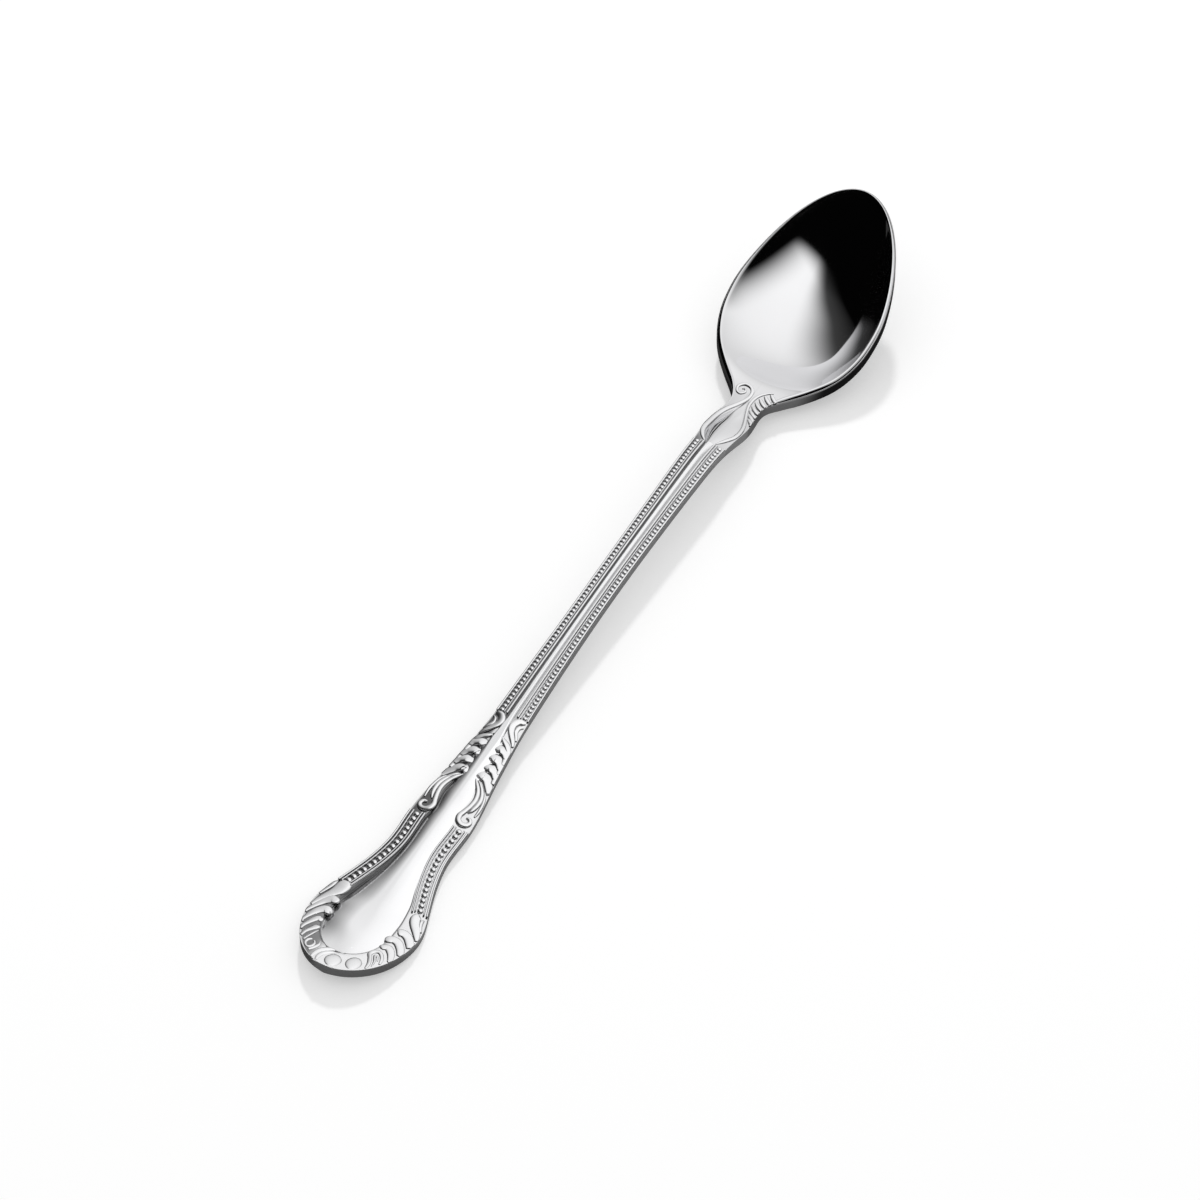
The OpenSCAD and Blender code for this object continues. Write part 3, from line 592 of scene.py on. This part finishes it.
def growth_tree(name, inputs):
    """A tree that takes a mesh of lines and the given inputs, and gives geometry back."""
    tree = bpy.data.node_groups.new(name, "GeometryNodeTree")
    for label, kind in (("Geometry", "NodeSocketGeometry"), *inputs, ("Finish", "NodeSocketMaterial")):
        tree.interface.new_socket(label, in_out="INPUT", socket_type=kind)
    tree.interface.new_socket("Geometry", in_out="OUTPUT", socket_type="NodeSocketGeometry")
    return tree


bead_tree = growth_tree("bead_row", (("Bead count", "NodeSocketInt"), ("Bead radius", "NodeSocketFloat")))
row = Board(bead_tree)
path, bead_count, bead_radius, bead_finish = row.node("NodeGroupInput", out=(0, 1, 2, 3))
thread = row.node("GeometryNodeMeshToCurve", sockets={"Mesh": path})
places = row.node("GeometryNodeCurveToPoints", {"mode": "COUNT"}, {"Curve": thread, "Count": bead_count})
ball = row.node("GeometryNodeMeshUVSphere", sockets={"Segments": 16, "Rings": 8, "Radius": bead_radius})
beads = row.node("GeometryNodeInstanceOnPoints", sockets={
    "Points": places, "Instance": ball, "Scale": (1.0, 1.0, bead_flatness)})
row.finish_metal(beads, bead_finish)


tip_trim, side_trim = 0.12, 0.03


def grown(name, lines, tree, sizes, node, lean=0.0):
    """Grows a tree on lines of points, keeps the plain mesh inside the outline, and fastens it."""
    points, edges, extra = [], [], {"half_width": [], "rise": [], "lean": []}
    for line in lines:
        edges += [(len(points) + k, len(points) + k + 1) for k in range(len(line) - 1)]
        for x, y, z, w, h in line:
            points.append(tuple(place(x, y, z).tolist()))
            extra["half_width"].append(w / 1000)
            extra["rise"].append(h / 1000)
            extra["lean"].append(lean)
    mesh = bpy.data.meshes.new(name + "_path")
    mesh.from_pydata(points, edges, [])
    for key, values in extra.items():
        mesh.attributes.new(key, "FLOAT", "POINT").data.foreach_set("value", values)
    guide = bpy.data.objects.new(name + "_path", mesh)
    bpy.context.scene.collection.objects.link(guide)
    growth = guide.modifiers.new("growth", "NODES")
    growth.node_group = tree
    sockets = {item.name: item.identifier for item in tree.interface.items_tree if item.in_out == "INPUT"}
    for label, value in sizes.items():
        growth[sockets[label]] = value
    shape = bpy.data.meshes.new_from_object(guide.evaluated_get(bpy.context.evaluated_depsgraph_get()))
    shape.name = name
    at = np.empty(len(shape.vertices) * 3)
    shape.vertices.foreach_get("co", at)
    at = at.reshape(-1, 3)
    at[:, 0] = np.maximum(at[:, 0], (tip_trim - middle_x) / 1000)
    trimmed = (half(at[:, 0] * 1000 + middle_x) - side_trim) / 1000
    at[:, 1] = np.clip(at[:, 1], -trimmed, trimmed)
    shape.vertices.foreach_set("co", at.ravel())
    shape.update()
    piece = bpy.data.objects.new(name, shape)
    bpy.context.scene.collection.objects.link(piece)
    bpy.data.objects.remove(guide)
    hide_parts(node)
    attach(piece, "root")
    return piece


def side_line(start, finish, count, side, width, share=1.0, inset=0.0, lift=0.0):
    """A line along one side, at a share of the half width less an inset, that stands up from the ground."""
    x = np.linspace(start, finish, count)
    y = side * (half(x) * share - inset)
    z = ground(x, y)
    return np.stack([x, y, z + lift, np.full_like(x, width / 2), top_line(x, y) - z], -1)


stem_bead_d, stem_bead_count = 0.86, 79
stem_step = STEM / stem_bead_count
for side, hand in ((1, "left"), (-1, "right")):
    line = side_line(stem_x + stem_step / 2, neck_x - stem_step / 2, 160, side, 1, share=0.7, lift=bead_lift)
    grown(hand + "_stem_bead_row", [line], bead_tree,
          {"Bead count": stem_bead_count, "Bead radius": stem_bead_d / 2000, "Finish": bright},
          hand + "_stem_beads")

border_start, border_finish = 18.6, HANDLE_END + 0.2
border_bead_d, border_bead_count = 1.06, 17
border_step = (border_finish - border_start) / border_bead_count
for side, hand in ((1, "left"), (-1, "right")):
    line = side_line(border_start + border_step / 2, border_finish - border_step / 2, 60, side, 1,
                     inset=1.6, lift=bead_lift)
    grown(hand + "_border_bead_row", [line], bead_tree,
          {"Bead count": border_bead_count, "Bead radius": border_bead_d / 2000, "Finish": bright},
          hand + "_border_beads")

# ------------------------------------------------------ the rims and ridges
# A bright rim follows the trimmed edge outside the beads, and a ridge stands
# between the beads and the panel. The die raises both in the same blow.
ridge_fullness = 0.55
ridge_tree = growth_tree("struck_ridge", (
    ("Section points", "NodeSocketInt"), ("Sunk depth", "NodeSocketFloat")))
rib = Board(ridge_tree)
rib_path, section_points, sunk_depth, rib_finish = rib.node("NodeGroupInput", out=(0, 1, 2, 3))
position = rib.node("GeometryNodeInputPosition")
skin_x, skin_y, skin_z = rib.split(position, (0, 1, 2))
rib_thread = rib.node("GeometryNodeMeshToCurve", sockets={"Mesh": rib.stored(rib_path, "seat", skin_z)})
upright = rib.node("GeometryNodeSetCurveNormal", {"mode": "Z_UP"}, {"Curve": rib_thread})
half_width = rib.named("half_width")
circle = rib.node("GeometryNodeCurvePrimitiveCircle", sockets={"Resolution": section_points, "Radius": 1.0})
swept = rib.node("GeometryNodeCurveToMesh", sockets={
    "Curve": upright, "Profile Curve": rib.stored(circle, "off_centre", skin_x),
    "Scale": half_width, "Fill Caps": True})
rise, seat, off_centre, lean = (rib.named(name) for name in ("rise", "seat", "off_centre", "lean"))
up_share = (skin_z - seat) / half_width
full_top = rib.node("ShaderNodeMath", {"operation": "POWER"}, {0: up_share.at_least(0.0), 1: ridge_fullness})
raised = full_top * rise * (1 - lean * off_centre)
new_z = seat + raised + up_share.at_most(0.0) * sunk_depth
# Painted shade: a ridge's foot is painted dark, most so on the spoon's left, and it stays bright from its
# shoulders up
foot_fade, right_dark, left_more_dark, left_from, left_to = 1.7, 0.85, 0.15, 0.0, 0.003
shade_by_hand = rib.rising(skin_y, left_from, left_to) * left_more_dark + right_dark
painted_foot_shade = (1.0 - up_share * foot_fade).at_least(0.0).at_most(1.0) * shade_by_hand
lifted = rib.node("GeometryNodeSetPosition", sockets={
    "Geometry": rib.stored(swept, "painted_shade_layer", painted_foot_shade),
    "Position": rib.node("ShaderNodeCombineXYZ", sockets={0: skin_x, 1: skin_y, 2: new_z})})
rib.finish_metal(lifted, rib_finish)
ridge_sizes = {"Section points": 24, "Sunk depth": 0.0008, "Finish": bright}

for side, hand in ((1, "left"), (-1, "right")):
    grown(hand + "_stem_rim_pair", [
        side_line(stem_x, neck_x, 160, side, 0.4, inset=0.2),
        side_line(stem_x, neck_x, 160, side, 0.24, share=0.5),
        side_line(stem_x, neck_x, 160, side, 0.36, share=0.34)], ridge_tree, ridge_sizes, hand + "_stem_rims")
    grown(hand + "_border_rim_pair", [
        side_line(border_start, border_finish, 80, side, 0.4, inset=0.2),
        side_line(border_start, border_finish, 80, side, 0.3, inset=0.8),
        side_line(border_start, border_finish, 80, side, 0.26, inset=2.4),
        side_line(border_start - 0.4, border_finish, 80, side, 0.32, inset=2.88)],
        ridge_tree, ridge_sizes, hand + "_border_rims")


# --------------------------------------------------- the shoulder ornament
# Each side has a leaf at the foot of the stem with a narrow one behind it, four
# flutes, and a double S line that rolls up into a volute. The die strikes them all.
def seated(x, y, width, share):
    """Sets a line of ornament in the ground, rising by a share of the way to the top line."""
    face, top = ground(x, y), top_line(x, y)
    low = np.minimum(face, top - 0.25)
    return np.stack([x, y, low, width, face + np.maximum(top - face, 0.06) * share - low], -1)


def stroke(rows, side=1, between=8):
    """Drawn rows in millimetres (x, y, half width, share of the full height) along a smooth spline."""
    rows = np.array(rows, float)
    padded = np.concatenate([rows[:1], rows, rows[-1:]])
    eased = []
    for a, b, c, d in zip(padded, padded[1:], padded[2:], padded[3:]):
        for f in np.arange(between) / between:
            bend = a - 2.5 * b + 2 * c - d / 2 + f * (d - a + 3 * (b - c)) / 2
            eased.append(b + f * ((c - a) / 2 + f * bend))
    x, y, width, share = np.array(eased + [rows[-1]]).T
    y = np.clip(np.abs(y), 0, half(x) - 0.1) * np.sign(y) * side
    return seated(x, y, np.maximum(width, 0.05), np.maximum(share, 0.1))


shoulder_leaf = [
    [(61.2, 2.75, 0.3, 0.5), (61.0, 2.3, 0.5, 0.9), (60.7, 1.6, 0.62, 1), (59.8, 1.15, 0.66, 1),
     (58.8, 1.3, 0.62, 1), (57.8, 1.95, 0.55, 1), (56.8, 2.7, 0.42, 0.95), (55.9, 3.2, 0.22, 0.7)],
    [(60.2, 2.85, 0.2, 0.5), (59.7, 2.35, 0.34, 0.85), (58.8, 2.25, 0.38, 0.9), (57.9, 2.75, 0.32, 0.85),
     (57.2, 3.1, 0.2, 0.6)],
    [(56.8, 0.75, 0.12, 0.4), (56.2, 1.45, 0.42, 0.9), (55.6, 2.3, 0.56, 1), (54.8, 3.0, 0.5, 0.95),
     (54.0, 3.5, 0.3, 0.7)]]
flute_tops = (48.0, 50.0, 52.1, 54.2)
flute_top_y = (1.25, 1.65, 1.3, 1.35)
flute_path = [(-0.4, -0.1, 0.45, 0.6), (0, 0.05, 0.9, 0.94), (0.3, 0.7, 1.05, 1), (-0.1, 1.6, 0.95, 1),
              (-1.1, 2.4, 0.8, 1), (-2.3, 3.3, 0.7, 1)]
shoulder_scroll = [
    [(39.6, 3.75, 0.2, 0.6), (39.45, 4.4, 0.36, 0.95), (38.85, 4.7, 0.42, 1), (38.2, 4.35, 0.48, 1),
     (38.0, 3.5, 0.52, 1), (38.5, 2.75, 0.52, 1), (39.4, 2.5, 0.5, 1), (40.5, 2.8, 0.46, 1),
     (42, 3.15, 0.44, 1), (43.5, 3.2, 0.44, 1), (45, 2.75, 0.42, 1), (46.2, 1.95, 0.32, 0.95),
     (47.1, 1.2, 0.12, 0.5)],
    [(40.5, 3.45, 0.15, 0.5), (41.3, 3.8, 0.34, 0.95), (42.5, 4.02, 0.42, 1), (44, 3.92, 0.42, 1),
     (45.4, 3.3, 0.38, 1), (46.5, 2.4, 0.28, 0.95), (47.1, 1.7, 0.12, 0.5)],
    [(40.4, 4.75, 0.15, 0.5), (41.6, 4.85, 0.28, 0.9), (43.1, 4.72, 0.28, 0.9), (44.6, 4.3, 0.26, 0.9),
     (45.9, 3.6, 0.12, 0.5)]]
for side, hand in ((1, "left"), (-1, "right")):
    grown(hand + "_foot_leaf", [stroke(rows, side) for rows in shoulder_leaf],
          ridge_tree, ridge_sizes, hand + "_shoulder_leaf", lean=0.3 * side)
    grown(hand + "_flute_group",
          [stroke([(x + dx, y + dy, w, h) for dx, dy, w, h in flute_path], side)
           for x, y in zip(flute_tops, flute_top_y)],
          ridge_tree, ridge_sizes, hand + "_shoulder_flutes", lean=0.45 * side)
    grown(hand + "_rolled_scroll", [stroke(rows, side) for rows in shoulder_scroll],
          ridge_tree, ridge_sizes, hand + "_shoulder_volute")

# -------------------------------------------------------- the tip ornament
# Round the tip run a leaf at each side, flutes that fan over the edge, a volute, a
# shell, a plain boss and a small S scroll.
left_leaf = [
    [(18.85, 6.6, 0.5, 0.4), (18.5, 6.65, 1.0, 0.85), (17.6, 6.75, 1.3, 1), (16.5, 7.0, 1.2, 1),
     (15.4, 7.55, 0.85, 1), (14.2, 8.25, 0.65, 1), (12.9, 8.9, 0.5, 0.95), (11.6, 9.35, 0.3, 0.8)],
    [(18.2, 8.3, 0.2, 0.4), (17.6, 8.5, 0.42, 0.9), (16.7, 8.7, 0.45, 1), (15.6, 9.05, 0.35, 0.9),
     (14.4, 9.45, 0.22, 0.7)]]
right_leaf = [
    [(18.15, -7.3, 0.5, 0.4), (17.8, -7.1, 0.8, 0.85), (17.0, -7.05, 0.92, 1), (16.1, -7.5, 0.9, 1),
     (15.1, -8.3, 0.8, 1), (14.1, -9.0, 0.6, 0.95), (13.2, -9.55, 0.3, 0.8)],
    [(17.75, -8.3, 0.15, 0.4), (17.2, -8.25, 0.28, 0.9), (16.3, -8.5, 0.3, 1), (15.2, -9.15, 0.2, 0.8)]]
left_flutes = [
    [(14.6, 6.1, 0.4, 0.5), (14.2, 6.35, 0.85, 0.95), (13.9, 7.0, 0.92, 1), (13.0, 7.9, 0.72, 1),
     (11.6, 8.65, 0.52, 1), (10.2, 9.2, 0.4, 1), (9.5, 9.36, 0.36, 0.9)],
    [(11.9, 5.85, 0.4, 0.5), (11.6, 6.1, 0.9, 0.95), (11.5, 6.8, 0.9, 1), (10.6, 7.7, 0.7, 1),
     (9.1, 8.35, 0.5, 1), (7.9, 8.7, 0.4, 0.95), (7.2, 8.75, 0.36, 0.85)],
    [(9.45, 6.0, 0.35, 0.5), (9.3, 6.2, 0.66, 0.95), (9.1, 6.75, 0.62, 1), (8.0, 7.35, 0.5, 1),
     (6.7, 7.85, 0.44, 1), (5.6, 7.9, 0.36, 0.9)],
    [(7.9, 5.55, 0.3, 0.5), (7.5, 5.75, 0.55, 0.9), (6.7, 6.25, 0.5, 1), (5.6, 6.8, 0.42, 1),
     (4.3, 6.95, 0.36, 0.9)],
    [(6.9, 5.15, 0.12, 0.4), (6.0, 5.5, 0.3, 0.9), (4.8, 5.85, 0.32, 1), (3.7, 6.1, 0.26, 0.8)]]
right_flutes = [
    [(8.75, -5.3, 0.3, 0.5), (9.0, -5.55, 0.6, 0.95), (9.35, -6.3, 0.7, 1), (9.05, -7.0, 0.75, 1),
     (8.2, -7.7, 0.66, 1), (7.0, -8.25, 0.5, 1), (6.5, -8.4, 0.45, 0.9)],
    [(10.8, -5.2, 0.35, 0.5), (10.95, -5.5, 0.75, 0.95), (11.35, -6.3, 0.8, 1), (11.15, -7.25, 0.82, 1),
     (10.3, -8.15, 0.76, 1), (9.2, -8.85, 0.66, 1), (8.6, -9.1, 0.6, 0.9)],
    [(13.1, -6.0, 0.35, 0.5), (13.25, -6.3, 0.75, 0.95), (13.4, -7.1, 0.82, 1), (13.0, -8.05, 0.86, 1),
     (12.1, -8.9, 0.82, 1), (11.2, -9.5, 0.7, 0.9)]]
left_volute = [
    [(4.75, 3.5, 0.15, 0.4), (4.0, 3.25, 0.28, 0.9), (2.9, 3.55, 0.32, 1), (2.0, 4.05, 0.25, 0.9)],
    [(4.55, 4.9, 0.2, 0.6), (4.0, 5.35, 0.3, 1), (3.1, 5.3, 0.3, 1), (2.5, 4.7, 0.28, 1), (2.9, 4.1, 0.26, 1),
     (3.7, 3.95, 0.26, 1), (4.3, 4.35, 0.24, 0.9)]]
shell = [
    [(0.62, 2.75, 0.3, 0.5), (1.6, 2.75, 0.42, 0.9), (2.8, 2.4, 0.46, 1), (3.8, 1.5, 0.42, 1),
     (4.3, 0.5, 0.25, 0.7)],
    [(0.5, 1.75, 0.3, 0.5), (1.4, 1.85, 0.42, 0.95), (2.4, 1.6, 0.42, 1), (3.2, 0.9, 0.36, 1),
     (3.7, 0.0, 0.2, 0.7)]]
small_scroll = [
    [(3.1, -5.9, 0.25, 0.5), (4.4, -5.75, 0.38, 0.9), (5.6, -5.25, 0.42, 1), (6.6, -4.7, 0.46, 1),
     (7.4, -4.95, 0.44, 1), (7.75, -5.7, 0.42, 1), (7.4, -6.4, 0.38, 1), (6.5, -7.0, 0.34, 1),
     (5.3, -7.3, 0.22, 0.8)],
    [(4.1, -6.45, 0.12, 0.4), (5.3, -6.25, 0.24, 0.85), (6.2, -5.8, 0.26, 0.9), (6.75, -5.6, 0.26, 0.9),
     (6.6, -6.15, 0.22, 0.85), (5.8, -6.6, 0.14, 0.6)]]


def round_button(x, y, length, width):
    """A low button as a stroke that swells and shrinks along the spoon."""
    f = np.linspace(-0.985, 0.985, 25)
    swell = np.sqrt(1 - f * f)
    at = x + length * f
    return seated(at, np.full_like(at, y), width * swell, swell ** 0.8)


tip_pieces = (
    ("left_tip_leaf_pair", left_leaf, [], "left_tip_leaf", 0.3),
    ("right_tip_curled_leaf", right_leaf, [], "right_tip_leaf", -0.3),
    ("left_fan_flutes", left_flutes, [], "left_tip_flutes", 0.45),
    ("right_fan_flutes", right_flutes, [], "right_tip_flutes", -0.45),
    ("left_tip_roll", left_volute, [], "tip_volute", 0.0),
    ("tip_shell_lobes", shell, [round_button(1.85, -0.6, 1.55, 1.45)], "tip_shell", 0.0),
    ("tip_round_boss", [], [round_button(3.05, -3.75, 1.6, 1.35)], "tip_boss", 0.0),
    ("tip_small_scroll", small_scroll, [], "tip_scroll", -0.2))
for name, lines, extra, node, lean in tip_pieces:
    grown(name, [stroke(rows) for rows in lines] + extra, ridge_tree, ridge_sizes, node, lean=lean)

# ------------------------------------------------------- the neck ornament
# On the left an S line runs onto the bowl and rolls up; on the right a leaf of short
# ribs lies against it.
neck_line = [
    [(131.5, 1.2, 0.12, 0.3), (132.6, 2.15, 0.36, 0.8), (134.4, 2.95, 0.5, 1), (137.0, 3.08, 0.52, 1),
     (139.8, 2.92, 0.5, 1), (142.0, 2.38, 0.45, 1), (144.0, 1.4, 0.4, 1), (145.6, 0.68, 0.36, 1),
     (147.0, 0.35, 0.34, 0.9), (148.3, 0.55, 0.34, 0.8), (149.2, 1.4, 0.32, 0.7), (149.3, 2.6, 0.3, 0.7),
     (148.4, 3.4, 0.28, 0.7), (147.3, 3.1, 0.26, 0.7), (146.95, 2.3, 0.24, 0.7), (147.6, 1.65, 0.22, 0.7),
     (148.3, 1.95, 0.18, 0.6), (148.1, 2.5, 0.1, 0.5)]]
neck_ribs = [
    [(131.6, -1.12, 0.12, 0.3), (133.0, -1.94, 0.34, 0.8), (135.0, -2.88, 0.4, 1), (137.0, -3.0, 0.42, 1),
     (139.0, -2.62, 0.38, 1), (141.0, -1.9, 0.34, 1), (143.0, -1.12, 0.3, 1), (144.8, -0.62, 0.28, 1),
     (146.6, -0.6, 0.28, 0.9), (148.0, -1.1, 0.26, 0.7), (149.0, -2.0, 0.2, 0.45), (149.6, -3.0, 0.1, 0.2)]]
rib_tops = ((141.4, -2.3), (142.6, -1.75), (143.8, -1.35), (145.0, -1.2), (146.2, -1.25), (147.3, -1.5),
            (148.3, -2.0), (149.1, -2.8))
neck_ribs += [[(x, y, 0.26, 0.6), (x - 0.7, y - 0.7, 0.4, 0.95), (x - 1.3, y - 1.45, 0.36, 0.95),
               (x - 1.7, y - 2.3, 0.22, 0.7)] for x, y in rib_tops]
for name, lines, node in (("neck_s_line", neck_line, "neck_scroll"),
                          ("neck_ribbed_leaf", neck_ribs, "neck_leaf")):
    grown(name, [stroke(rows) for rows in lines], ridge_tree, ridge_sizes, node)
